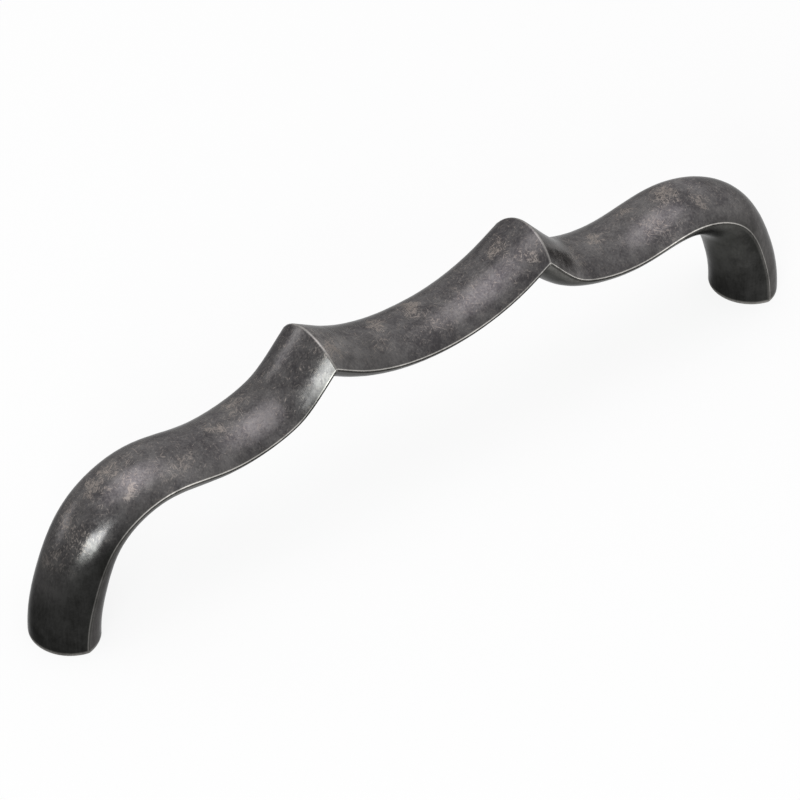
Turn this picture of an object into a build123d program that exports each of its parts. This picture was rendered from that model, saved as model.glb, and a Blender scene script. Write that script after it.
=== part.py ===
from build123d import *
import math
import os

# Bar pull: one zinc casting on two feet, with a wave along its top.
# X runs along the bar and Z stands off the drawer front. The origin is midway
# between the feet, on the face that they are screwed to. Sizes are millimetres.

# Holes tapped M4 in the soles of the feet
hole_spacing = 128.0
tap_drill = 3.3
thread_depth = 8.0
hole_mouth = 4.6
mouth_angle = 90.0
drill_point_angle = 118.0

# Cross-section: an outer and an inner arc that meet at a narrow flat land on each side
bar_width = 12.4
land = 0.3
foot_outer_rise = 5.0
foot_inner_rise = 5.0
bar_outer_rise = 2.8
bar_inner_rise = 3.1
valley_outer_rise = 3.2
valley_inner_rise = 3.4

# Share of the arm, from the foot, over which each rise changes to the bar's own
outer_taper = 0.8
inner_taper = 1.0

# Line of the lands in the side view. Insets run inwards from a foot's hole or
# outwards from a peak, and heights from the drawer front.
leg_inset = 1.8
leg_height = 9.5
shoulder_inset = 5.9
shoulder_height = 17.2
hump_inset = 15.0
hump_height = 21.5
dip_inset = 18.4
dip_height = 20.4
flank_inset = 7.5
flank_height = 22.35
peak_spacing = 39.3
peak_height = 29.2
peak_arm_slope = 48.0
peak_valley_slope = 31.0
valley_flank_inset = 8.6
valley_flank_height = 24.85
valley_height = 23.1

# Most that the sections which shape the bar stand apart
section_spacing = 10.0

# Ridges over the peaks, and the rims of the soles
ridge_radius = 0.4
sole_radius = 0.3

foot_x = -hole_spacing / 2
peak_x = -peak_spacing / 2

# At a peak, arm and valley meet on the plane that halves their angle. Both are
# straight for as far as the cut on that plane reaches along them.
half_turn = (peak_arm_slope + peak_valley_slope) / 2
mitre_tilt = (peak_arm_slope - peak_valley_slope) / 2
straight_margin = 1.3
mitre_reach = max(bar_outer_rise, bar_inner_rise) * math.tan(math.radians(half_turn))
straight = straight_margin * mitre_reach


def heading(degrees):
    """Direction in the side view, as a pair along X and Z."""
    return (math.cos(math.radians(degrees)), math.sin(math.radians(degrees)))


def from_peak(degrees, distance):
    """Point in the side view at a distance from the left peak."""
    along, up = heading(degrees)
    return (peak_x + distance * along, peak_height + distance * up)


def blend(first, last, share):
    """Smooth change from the first value to the last while the share goes from 0 to 1."""
    share = min(max(share, 0), 1)
    return first + (last - first) * share * share * (3 - 2 * share)


# Line of the left arm, from the foot over the shoulder to its straight end
with BuildLine(Plane.XZ) as arm_line:
    Spline(
        (foot_x, 0),
        (foot_x + leg_inset, leg_height),
        (foot_x + shoulder_inset, shoulder_height),
        (foot_x + hump_inset, hump_height),
        (peak_x - dip_inset, dip_height),
        (peak_x - flank_inset, flank_height),
        from_peak(peak_arm_slope, -straight),
        tangents=[heading(90), heading(peak_arm_slope)],
    )

# Line of the valley's left half, from its straight end to the middle of the bar
with BuildLine(Plane.XZ) as valley_line:
    Spline(
        from_peak(-peak_valley_slope, straight),
        (peak_x + valley_flank_inset, valley_flank_height),
        (0, valley_height),
        tangents=[heading(-peak_valley_slope), heading(0)],
    )


def section(plane, outer_rise, inner_rise):
    """Closed cross-section, with its X axis across the bar and Y outwards."""
    side = bar_width / 2
    edge = land / 2
    with BuildSketch(plane) as lens:
        with BuildLine():
            ThreePointArc((-side, edge), (0, outer_rise), (side, edge))
            Line((side, edge), (side, -edge))
            ThreePointArc((side, -edge), (0, -inner_rise), (-side, -edge))
            Line((-side, -edge), (-side, edge))
        make_face()
    return lens.sketch


def square_plane(line, share):
    """Plane square to a line, at a share of its length."""
    curve = line.edge()
    return Plane(curve.position_at(share), x_dir=(0, 1, 0), z_dir=curve.tangent_at(share))


def arm_section(share):
    outer_rise = blend(foot_outer_rise, bar_outer_rise, share / outer_taper)
    inner_rise = blend(foot_inner_rise, bar_inner_rise, share / inner_taper)
    return section(square_plane(arm_line, share), outer_rise, inner_rise)


def valley_section(share):
    outer_rise = blend(bar_outer_rise, valley_outer_rise, share)
    inner_rise = blend(bar_inner_rise, valley_inner_rise, share)
    return section(square_plane(valley_line, share), outer_rise, inner_rise)


def shares(line):
    """Even shares of a line's length, from 0 to 1, for its sections."""
    gaps = math.ceil(line.edge().length / section_spacing)
    return [i / gaps for i in range(gaps + 1)]


# Left arm, with a straight end cut on the mitre plane of its peak
mitre_along, mitre_up = heading(mitre_tilt)
mitre = Plane((peak_x, 0, peak_height), x_dir=(0, 1, 0), z_dir=(mitre_along, 0, mitre_up))
with BuildPart() as arm:
    sections = [arm_section(share) for share in shares(arm_line)]
    sweep(sections, path=arm_line.wire(), multisection=True)
    extrude(arm_section(1), amount=2 * straight)
    split(bisect_by=mitre, keep=Keep.BOTTOM)

# Left half of the valley, with a straight end cut on the same plane
with BuildPart() as valley:
    sections = [valley_section(share) for share in shares(valley_line)]
    sweep(sections, path=valley_line.wire(), multisection=True)
    extrude(valley_section(0), amount=-2 * straight)
    split(bisect_by=mitre, keep=Keep.TOP)

with BuildPart() as pull_casting:
    add(arm.part)
    add(valley.part)
    mirror(about=Plane.YZ)

    # Worn ridges over the peaks: the one curved edge that crosses the bar above each
    crossing = pull_casting.edges().filter_by(lambda edge: edge.length > bar_width)
    above = crossing.filter_by(lambda edge: edge.center().Z > peak_height)
    ridges = above.filter_by(lambda edge: abs(abs(edge.center().X) + peak_x) < bar_outer_rise)
    fillet(ridges, ridge_radius)

    # Rims of the soles, and the tapped holes in them
    fillet(pull_casting.edges().group_by(Axis.Z)[0], sole_radius)
    with Locations(*[Plane((x, 0, 0), z_dir=(0, 0, -1)) for x in (foot_x, -foot_x)]):
        CounterSinkHole(tap_drill / 2, hole_mouth / 2, thread_depth, mouth_angle)
    drill_point = tap_drill / 2 / math.tan(math.radians(drill_point_angle / 2))
    with Locations((foot_x, 0, thread_depth), (-foot_x, 0, thread_depth)):
        Cone(
            tap_drill / 2,
            0,
            drill_point,
            align=(Align.CENTER, Align.CENTER, Align.MIN),
            mode=Mode.SUBTRACT,
        )

os.makedirs("parts", exist_ok=True)
pull_casting.part.label = "pull_casting"
export_step(pull_casting.part, "parts/pull_casting.step")
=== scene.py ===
import math

import bpy
from mathutils import Matrix, Vector

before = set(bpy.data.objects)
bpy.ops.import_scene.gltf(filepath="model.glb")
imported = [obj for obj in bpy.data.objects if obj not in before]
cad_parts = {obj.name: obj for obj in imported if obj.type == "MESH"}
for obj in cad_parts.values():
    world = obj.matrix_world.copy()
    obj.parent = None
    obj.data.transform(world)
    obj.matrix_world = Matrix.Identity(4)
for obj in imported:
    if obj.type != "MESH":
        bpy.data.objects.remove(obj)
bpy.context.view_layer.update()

MM = 0.001

# Form of the casting that its wear follows, in millimetres, and the lean of the planes
# that the ridges over the peaks lie in, in degrees
HALF_WIDTH = 6.2
PEAK_X, PEAK_Z, PEAK_TILT = 19.65, 29.2, 8.5

# Patterns in the film, in millimetres. The legs hang upright in the bath, and the runs
# follow them. The strokes of the flecks are drawn a little coarser than the real ones.
CLOUD = 9
MOTTLE = 1.8
GRAIN = 0.35
RUN = (0.3, 0.3, 5.0)
PATCH = 5
RAGGED = 2.5
STROKE = (1.0, 0.2, 0.5)
STROKE_TURNS = (28, -35, 80)

# Where hands and cloth have rubbed the film hardest: place, and how far it reaches
WORN_PLACES = (
    (-57, 1.2, 22.8, 3.0),
    (-54.2, 1.2, 24.0, 2.6),
    (-53.7, -3.3, 23.4, 2.0),
    (-65.6, 0.4, 13.8, 2.6),
    (-64.2, -3.3, 13.0, 1.8),
    (-44.8, -3.4, 23.7, 1.9),
    (-37.2, 0.2, 23.2, 2.3),
    (-31.5, 2.7, 23.4, 2.4),
    (-18.2, -3.5, 30.6, 2.6),
    (-7.1, 0.8, 26.9, 2.4),
    (-0.5, 1.3, 26.2, 2.6),
    (15.6, 1.3, 29.8, 2.8),
    (17.3, -3.6, 30.1, 1.6),
    (33.5, 1.0, 23.4, 2.0),
    (41.5, 2.5, 23.6, 2.2),
    (47.5, 1.0, 24.8, 3.2),
    (51.6, -3.3, 23.9, 2.0),
)

# Painted light and shade: spots where the colour is darkened, below 1, or lightened, standing in
# for shade and highlights: place, how far it reaches, how light
PAINTED_LIGHT_AND_SHADE_PLACES = (
    (-60.5, 0.5, 20.5, 5, 0.7),
    (-59.5, -4.5, 19, 4, 1.35),
    (-53, -4, 23.5, 3, 1.4),
    (-46.5, -7, 21, 5, 1.6),
    (-34, -6.5, 20.5, 5, 0.6),
    (-29.5, -3.5, 23.5, 3.5, 0.7),
    (-27, 1.5, 26, 4, 0.75),
    (-24, -7, 25.3, 4, 0.45),
    (-19, 1.5, 32, 2.5, 1.5),
    (-17, -5, 29, 3.5, 0.65),
    (-12, -4.5, 27, 5.5, 0.65),
    (19, -6.5, 28.5, 2.5, 1.5),
    (23.5, -5, 26, 4.5, 1.5),
    (29, -4, 23, 5, 0.75),
    (46, -7, 21, 6, 1.7),
    (52.5, 2.5, 24, 5, 1.6),
    (62, -7, 11, 6, 1.7),
    (64, -7, 3, 6, 1.6),
)


def srgb(code):
    """Hex colour as the linear colour that a shader takes."""
    parts = [int(code[i : i + 2], 16) / 255 for i in (1, 3, 5)]
    linear = [p / 12.92 if p <= 0.04045 else ((p + 0.055) / 1.055) ** 2.4 for p in parts]
    return (*linear, 1.0)


def add(tree, kind, inputs=None, **settings):
    """A node with its settings. An input is a value, or the socket or node that feeds it."""
    node = tree.nodes.new(kind)
    for name, value in settings.items():
        setattr(node, name, value)
    for key, value in (inputs or {}).items():
        if isinstance(value, bpy.types.Node):
            value = value.outputs[0]
        if isinstance(value, bpy.types.NodeSocket):
            tree.links.new(value, node.inputs[key])
        else:
            node.inputs[key].default_value = value
    return node


def material(name):
    """A material with nothing in its tree but the output."""
    made = bpy.data.materials.new(name)
    made.use_nodes = True
    made.node_tree.nodes.clear()
    return made, made.node_tree, made.node_tree.nodes.new("ShaderNodeOutputMaterial")


def film_with_painted_light_and_shade(tree, faces, uneven):
    """Bath film, with painted light and shade set by the way the part faces.

    It is near-black where the part faces sideways, partly the dark film and partly painted shade.
    It is lighter underneath, on faces to the right and most of all on slopes that fall to the
    right, which is painted light. It is lighter the more the part faces outwards, partly the film
    rubbed thinner and partly painted light.
    """
    underneath = add(
        tree,
        "ShaderNodeMapRange",
        {"Value": faces.outputs["Z"], "From Min": -0.12, "From Max": -0.5},
    )
    rightwards = add(
        tree, "ShaderNodeMapRange", {"Value": faces.outputs["X"], "From Min": 0.0, "From Max": 0.5}
    )
    rear = add(tree, "ShaderNodeMath", {0: faces.outputs["Y"], 1: 0.0}, operation="MAXIMUM")
    outwards = add(
        tree,
        "ShaderNodeMath",
        {0: rear, 1: 0.3, 2: faces.outputs["Z"]},
        operation="MULTIPLY_ADD",
    )
    outwards = add(
        tree, "ShaderNodeMapRange", {"Value": outwards, "From Min": 0.26, "From Max": 0.84}
    )
    steep = add(
        tree,
        "ShaderNodeMapRange",
        {"Value": faces.outputs["X"], "From Min": 0.32, "From Max": 0.6, "To Max": 0.7},
    )
    upper = add(
        tree, "ShaderNodeMapRange", {"Value": faces.outputs["Z"], "From Min": 0.2, "From Max": 0.5}
    )
    slopes = add(tree, "ShaderNodeMath", {0: steep, 1: upper}, operation="MULTIPLY")

    # Each layer lies over the last by its share, and varies from a dark to a light tone
    tone = add(tree, "ShaderNodeMapRange", {"Value": uneven, "From Min": 0.42, "From Max": 0.58})
    # Near-black base, partly the dark bath film and partly painted shade where the part faces
    # sideways
    film = add(
        tree, "ShaderNodeMix", {0: tone, 6: srgb("#1f1f1e"), 7: srgb("#2d2d2c")}, data_type="RGBA"
    ).outputs[2]
    # Painted light: the underneath, rightwards and slopes layers; the outwards layer is partly
    # rubbed film and partly painted light
    for share, dark, light in (
        (underneath, "#3c3c3a", "#4c4c4a"),
        (rightwards, "#4a4948", "#5c5a59"),
        (outwards, "#464446", "#676565"),
        (slopes, "#5a5858", "#7c7a79"),
    ):
        layer = add(
            tree, "ShaderNodeMix", {0: tone, 6: srgb(dark), 7: srgb(light)}, data_type="RGBA"
        ).outputs[2]
        film = add(
            tree, "ShaderNodeMix", {0: share, 6: film, 7: layer}, data_type="RGBA"
        ).outputs[2]
    return film


def painted_light_and_wear_places(tree, mm):
    """How light the painted light and shade make each place, and how hard it was rubbed, from 0 to
    1.

    The outlines of the places are ragged. Fainter rubbed patches lie anywhere.
    """
    shift = add(tree, "ShaderNodeTexNoise", {"Vector": mm, "Scale": 1 / RAGGED, "Detail": 3.0})
    shift = add(
        tree,
        "ShaderNodeVectorMath",
        {0: shift.outputs["Color"], 1: (6, 6, 6), 2: (-3, -3, -3)},
        operation="MULTIPLY_ADD",
    )
    ragged = add(tree, "ShaderNodeVectorMath", {0: mm, 1: shift}, operation="ADD")

    painted_light_scale = 1.0
    # Painted light and shade: each listed place scales the colour up or down
    for x, y, z, reach, light in PAINTED_LIGHT_AND_SHADE_PLACES:
        away = add(
            tree, "ShaderNodeVectorMath", {0: ragged, 1: (x, y, z)}, operation="DISTANCE"
        ).outputs["Value"]
        spot = add(
            tree,
            "ShaderNodeMapRange",
            {
                "Value": away,
                "From Min": reach,
                "From Max": 0.2 * reach,
                "To Min": 1.0,
                "To Max": light,
            },
        )
        painted_light_scale = add(tree, "ShaderNodeMath", {0: painted_light_scale, 1: spot}, operation="MULTIPLY")

    patch = add(tree, "ShaderNodeTexNoise", {"Vector": mm, "Scale": 1 / PATCH, "Detail": 3.0})
    patches = add(
        tree,
        "ShaderNodeMapRange",
        {"Value": patch, "From Min": 0.5, "From Max": 0.68, "To Max": 0.5},
    )
    for x, y, z, reach in WORN_PLACES:
        away = add(
            tree, "ShaderNodeVectorMath", {0: ragged, 1: (x, y, z)}, operation="DISTANCE"
        ).outputs["Value"]
        spot = add(
            tree, "ShaderNodeMapRange", {"Value": away, "From Min": reach, "From Max": 0.3 * reach}
        )
        patches = add(tree, "ShaderNodeMath", {0: patches, 1: spot}, operation="MAXIMUM")
    return painted_light_scale, patches


def flecks(tree, mm, faces, patches):
    """Flecks rubbed through to bare metal, dense in the patches and few elsewhere."""
    strokes = 0.0
    for turn in STROKE_TURNS:
        stroke = add(
            tree,
            "ShaderNodeMapping",
            {"Vector": mm, "Rotation": (0, 0, math.radians(turn)), "Scale": STROKE},
            vector_type="TEXTURE",
        )
        stroke = add(tree, "ShaderNodeTexNoise", {"Vector": stroke, "Scale": 1.0, "Detail": 2.0})
        strokes = add(tree, "ShaderNodeMath", {0: strokes, 1: stroke}, operation="MAXIMUM")
    reached = add(
        tree, "ShaderNodeMath", {0: patches, 1: 0.19, 2: strokes}, operation="MULTIPLY_ADD"
    )
    strong = add(
        tree,
        "ShaderNodeMapRange",
        {"Value": reached, "From Min": 0.67, "From Max": 0.8, "To Max": 0.5},
    )
    faint = add(
        tree,
        "ShaderNodeMapRange",
        {"Value": strokes, "From Min": 0.57, "From Max": 0.69, "To Max": 0.13},
    )
    rubbed = add(tree, "ShaderNodeMath", {0: strong, 1: faint}, operation="ADD")
    rubbed = add(
        tree, "ShaderNodeMath", {0: patches, 1: 0.05, 2: rubbed}, operation="MULTIPLY_ADD"
    )

    # None where the part faces sideways or down, and fewer towards the front and the right
    for facing, first, last, least in (
        ("Z", 0.3, 0.75, 0.0),
        ("Y", -0.7, -0.35, 0.45),
        ("X", 0.75, 0.5, 0.4),
    ):
        reachable = add(
            tree,
            "ShaderNodeMapRange",
            {
                "Value": faces.outputs[facing],
                "From Min": first,
                "From Max": last,
                "To Min": least,
            },
        )
        rubbed = add(tree, "ShaderNodeMath", {0: rubbed, 1: reachable}, operation="MULTIPLY")
    return rubbed


def bare_metal(tree, mm, faces, uneven):
    """Bare metal, from 0 to 1: on the lands, the ridges and the rims of the soles."""
    at = add(tree, "ShaderNodeSeparateXYZ", {0: mm})
    along = add(tree, "ShaderNodeMath", {0: at.outputs["X"]}, operation="ABSOLUTE")
    across = add(tree, "ShaderNodeMath", {0: at.outputs["Y"]}, operation="ABSOLUTE")

    # Distance from the nearest land, measured over the surface
    inside = add(tree, "ShaderNodeMath", {0: HALF_WIDTH, 1: across}, operation="SUBTRACT")
    level = add(
        tree,
        "ShaderNodeMath",
        {0: faces.outputs["Y"], 1: faces.outputs["Y"]},
        operation="MULTIPLY",
    )
    level = add(tree, "ShaderNodeMath", {0: 1.0, 1: level}, operation="SUBTRACT")
    level = add(tree, "ShaderNodeMath", {0: level, 1: 0.5}, operation="POWER")
    level = add(tree, "ShaderNodeMath", {0: level, 1: 0.05}, operation="MAXIMUM")
    inside = add(tree, "ShaderNodeMath", {0: inside, 1: level}, operation="DIVIDE")

    # A line along each land: bright on its outer edge where the bar is gripped, and dull on
    # its inner edge, on the legs and on slopes that face left
    edge = add(tree, "ShaderNodeMapRange", {"Value": inside, "From Min": 0.2, "From Max": 0.08})
    side = add(tree, "ShaderNodeMath", {0: at.outputs["X"]}, operation="SIGN")
    outer = add(
        tree,
        "ShaderNodeMath",
        {0: faces.outputs["X"], 1: side, 2: faces.outputs["Z"]},
        operation="MULTIPLY_ADD",
    )
    for facing, first, last, least in (
        (outer, 0.02, 0.15, 0.22),
        (faces.outputs["Z"], 0.2, 0.5, 0.32),
        (faces.outputs["X"], -0.5, -0.1, 0.25),
    ):
        share = add(
            tree,
            "ShaderNodeMapRange",
            {"Value": facing, "From Min": first, "From Max": last, "To Min": least},
        )
        edge = add(tree, "ShaderNodeMath", {0: edge, 1: share}, operation="MULTIPLY")

    # The ridges over the peaks
    from_peak = add(tree, "ShaderNodeMath", {0: PEAK_X, 1: along}, operation="SUBTRACT")
    above_peak = add(tree, "ShaderNodeMath", {0: at.outputs["Z"], 1: PEAK_Z}, operation="SUBTRACT")
    lean = math.radians(PEAK_TILT)
    aside = add(tree, "ShaderNodeMath", {0: from_peak, 1: math.cos(lean)}, operation="MULTIPLY")
    aside = add(
        tree,
        "ShaderNodeMath",
        {0: above_peak, 1: math.sin(lean), 2: aside},
        operation="MULTIPLY_ADD",
    )
    aside = add(tree, "ShaderNodeMath", {0: aside}, operation="ABSOLUTE")
    ridge = add(
        tree,
        "ShaderNodeMapRange",
        {"Value": aside, "From Min": 0.24, "From Max": 0.06, "To Max": 0.38},
    )
    on_top = add(tree, "ShaderNodeMath", {0: above_peak, 1: -0.2}, operation="GREATER_THAN")
    ridge = add(tree, "ShaderNodeMath", {0: ridge, 1: on_top}, operation="MULTIPLY")

    # A strip under each land, where fingers curl round the bar
    strip = add(
        tree,
        "ShaderNodeMapRange",
        {"Value": inside, "From Min": 1.4, "From Max": 0.3, "To Max": 0.13},
    )
    below = add(
        tree,
        "ShaderNodeMapRange",
        {"Value": faces.outputs["Z"], "From Min": -0.25, "From Max": -0.45},
    )
    strip = add(tree, "ShaderNodeMath", {0: strip, 1: below}, operation="MULTIPLY")

    # The rims of the soles
    rim = add(
        tree,
        "ShaderNodeMapRange",
        {"Value": at.outputs["Z"], "From Min": 0.75, "From Max": 0.35, "To Max": 0.32},
    )

    bare = edge
    for other in (ridge, strip, rim):
        bare = add(tree, "ShaderNodeMath", {0: bare, 1: other}, operation="MAXIMUM")
    broken = add(
        tree,
        "ShaderNodeMapRange",
        {"Value": uneven, "From Min": 0.42, "From Max": 0.54, "To Min": 0.6},
    )
    return add(tree, "ShaderNodeMath", {0: bare, 1: broken}, operation="MULTIPLY")


def antiqued_zinc():
    """Zinc die-casting, blackened in a bath, rubbed back by hand and lacquered satin.

    The bath leaves a near-black film, which stays on the legs and the underside. Its dark on the
    legs is partly painted shade, and the underside and faces to the right are lightened by painted
    light. Rubbing thins it to a warm grey where the bar faces outwards, partly rubbed and partly
    painted light. It breaks through in flecks on the crests, and lays the metal bare along the
    sharp edges. Listed places are lightened or darkened by painted light and shade.
    """
    made, tree, out = material("antiqued_zinc_casting")
    place = add(tree, "ShaderNodeTexCoord")
    mm = add(
        tree,
        "ShaderNodeMapping",
        {"Vector": place.outputs["Object"], "Scale": (1 / MM, 1 / MM, 1 / MM)},
    )
    faces = add(tree, "ShaderNodeSeparateXYZ", {0: place.outputs["Normal"]})

    # How unevenly the film took
    clouds = add(tree, "ShaderNodeTexNoise", {"Vector": mm, "Scale": 1 / CLOUD, "Detail": 4.0})
    mottle = add(tree, "ShaderNodeTexNoise", {"Vector": mm, "Scale": 1 / MOTTLE, "Detail": 4.0})
    grain = add(
        tree,
        "ShaderNodeTexNoise",
        {"Vector": mm, "Scale": 1 / GRAIN, "Detail": 3.0, "Roughness": 0.65},
    )
    upright = add(tree, "ShaderNodeMapping", {"Vector": mm, "Scale": RUN}, vector_type="TEXTURE")
    runs = add(tree, "ShaderNodeTexNoise", {"Vector": upright, "Scale": 1.0, "Detail": 2.0})
    wide = add(tree, "ShaderNodeMix", {0: 0.45, 2: clouds, 3: mottle}, data_type="FLOAT")
    fine = add(tree, "ShaderNodeMix", {0: 0.45, 2: grain, 3: runs}, data_type="FLOAT")
    uneven = add(tree, "ShaderNodeMix", {0: 0.38, 2: wide, 3: fine}, data_type="FLOAT")

    film = film_with_painted_light_and_shade(tree, faces, uneven)
    painted_light_scale, patches = painted_light_and_wear_places(tree, mm)
    rubbed = flecks(tree, mm, faces, patches)
    bare = bare_metal(tree, mm, faces, uneven)

    # Flecks show the zinc as a warm grey, and the edges, polished by wear, show it pale
    colour = add(
        tree, "ShaderNodeMix", {0: rubbed, 6: film, 7: srgb("#9b928b")}, data_type="RGBA"
    ).outputs[2]
    colour = add(
        tree, "ShaderNodeMix", {0: bare, 6: colour, 7: srgb("#c8c5c0")}, data_type="RGBA"
    ).outputs[2]
    # Painted light and shade: the colour is scaled up or down at the listed places
    colour = add(tree, "ShaderNodeVectorMath", {0: colour, 3: painted_light_scale}, operation="SCALE")

    # Lacquer: satin over the film, and duller where flecks and edges have lost it
    gloss = add(
        tree,
        "ShaderNodeMapRange",
        {"Value": mottle, "From Min": 0.35, "From Max": 0.65, "To Min": 0.2, "To Max": 0.26},
    )
    matt = add(tree, "ShaderNodeMath", {0: rubbed, 1: 0.4, 2: gloss}, operation="MULTIPLY_ADD")
    matt = add(tree, "ShaderNodeMix", {0: bare, 2: matt, 3: 0.55}, data_type="FLOAT")

    # Skin of the casting: fine grit over shallow hollows
    grit = add(tree, "ShaderNodeBump", {"Height": grain, "Strength": 0.07, "Distance": 0.02 * MM})
    skin = add(
        tree,
        "ShaderNodeBump",
        {"Height": mottle, "Strength": 0.16, "Distance": 0.04 * MM, "Normal": grit},
    )

    # Specular Tint keeps the film from going pale where it is seen at a glancing angle
    shader = add(
        tree,
        "ShaderNodeBsdfPrincipled",
        {
            "Base Color": colour,
            "Metallic": 1.0,
            "Roughness": matt,
            "Specular Tint": srgb("#bcbcbc"),
            "Normal": skin,
        },
    )
    tree.links.new(shader.outputs[0], out.inputs["Surface"])
    return made


def looked_at(tree):
    """1 for a ray from the camera, a reflection or glass, and 0 for one that carries light."""
    ray = add(tree, "ShaderNodeLightPath")
    looks = ray.outputs["Is Camera Ray"]
    for kind in ("Is Glossy Ray", "Is Transmission Ray"):
        looks = add(tree, "ShaderNodeMath", {0: looks, 1: ray.outputs[kind]}, operation="MAXIMUM")
    return looks


def paper_sweep():
    """White paper: white to the camera and in reflections, with a faint shadow kept on it."""
    made, tree, out = material("white_paper_sweep")
    share = add(tree, "ShaderNodeMath", {0: looked_at(tree), 1: 0.85}, operation="MULTIPLY")
    paper = add(tree, "ShaderNodeBsdfDiffuse", {"Color": srgb("#f2f2f2")})
    white = add(tree, "ShaderNodeEmission", {"Color": srgb("#ffffff"), "Strength": 1.0})
    mixed = add(tree, "ShaderNodeMixShader", {0: share, 1: paper, 2: white})
    tree.links.new(mixed.outputs[0], out.inputs["Surface"])
    return made


def studio_walls():
    """World that is white to the camera and in reflections, and a plain fill for the rest."""
    world = bpy.data.worlds.new("studio")
    world.use_nodes = True
    tree = world.node_tree
    tree.nodes.clear()
    fill = add(tree, "ShaderNodeBackground", {"Color": srgb("#ffffff"), "Strength": 0.55})
    walls = add(tree, "ShaderNodeBackground", {"Color": srgb("#ffffff"), "Strength": 1.0})
    mixed = add(tree, "ShaderNodeMixShader", {0: looked_at(tree), 1: fill, 2: walls})
    out = tree.nodes.new("ShaderNodeOutputWorld")
    tree.links.new(mixed.outputs[0], out.inputs["Surface"])
    return world


def softbox(name, azimuth, elevation, width, height, glow, colour="#ffffff", shape="RECTANGLE"):
    """Area light 1.5 m from the part.

    Azimuth runs from -Y towards +X. Width and height are in degrees as the part sees them,
    and glow is the light's radiance.
    """
    reach = 1.5
    light = bpy.data.lights.new(name, "AREA")
    light.shape = shape
    light.size = 2 * reach * math.tan(math.radians(width / 2))
    light.size_y = 2 * reach * math.tan(math.radians(height / 2))
    area = light.size * light.size_y
    if shape == "ELLIPSE":
        area *= math.pi / 4
    light.energy = glow * math.pi * area
    light.color = srgb(colour)[:3]
    turn, rise = math.radians(azimuth), math.radians(elevation)
    out = Vector(
        (math.sin(turn) * math.cos(rise), -math.cos(turn) * math.cos(rise), math.sin(rise))
    )
    lamp = bpy.data.objects.new(name, light)
    lamp.location = reach * out
    lamp.rotation_euler = out.to_track_quat("Z", "Y").to_euler()
    bpy.context.scene.collection.objects.link(lamp)


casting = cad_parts["pull_casting"]
casting.data.materials.clear()
casting.data.materials.append(antiqued_zinc())

bpy.ops.object.select_all(action="DESELECT")
bpy.ops.mesh.primitive_plane_add(size=12, location=(0, 0, 0))
floor = bpy.context.object
floor.name = "studio_floor"
floor.data.materials.append(paper_sweep())

softbox("key_softbox", -51.5, 18.5, 27, 21, 13.3, "#f8fefb")
softbox("side_softbox", -142, 11, 30, 17, 1.6)
softbox("right_softbox", 112, 12, 95, 50, 0.22)
softbox("top_softbox", 0, 90, 29, 29, 1.7, "#fffaff", "ELLIPSE")
softbox("top_diffuser", 0, 90, 58, 58, 0.76, "#fffaff", "ELLIPSE")
bpy.context.scene.world = studio_walls()

# Camera of the photograph: where it stands and what it looks at
azimuth, elevation = math.radians(-38.208), math.radians(39.653)
distance = 668.3 * MM
target = Vector((0, 0, 15 * MM))
right = Vector((math.cos(azimuth), math.sin(azimuth), 0))
up = Vector(
    (
        -math.sin(azimuth) * math.sin(elevation),
        math.cos(azimuth) * math.sin(elevation),
        math.cos(elevation),
    )
)
back = right.cross(up)

# Its lens, and the shift that frames the part in a picture 800 pixels wide
picture = 800
lens = bpy.data.cameras.new("photo_camera")
lens.sensor_width = 36
lens.lens = 205.1
lens.shift_x = -18.729 / picture
lens.shift_y = -28.957 / picture
lens.clip_start = 0.01
camera = bpy.data.objects.new("photo_camera", lens)
stand = Matrix.Translation(target + distance * back)
camera.matrix_world = stand @ Matrix((right, up, back)).transposed().to_4x4()
bpy.context.scene.collection.objects.link(camera)
bpy.context.scene.camera = camera

bpy.context.scene.view_settings.view_transform = "Standard"
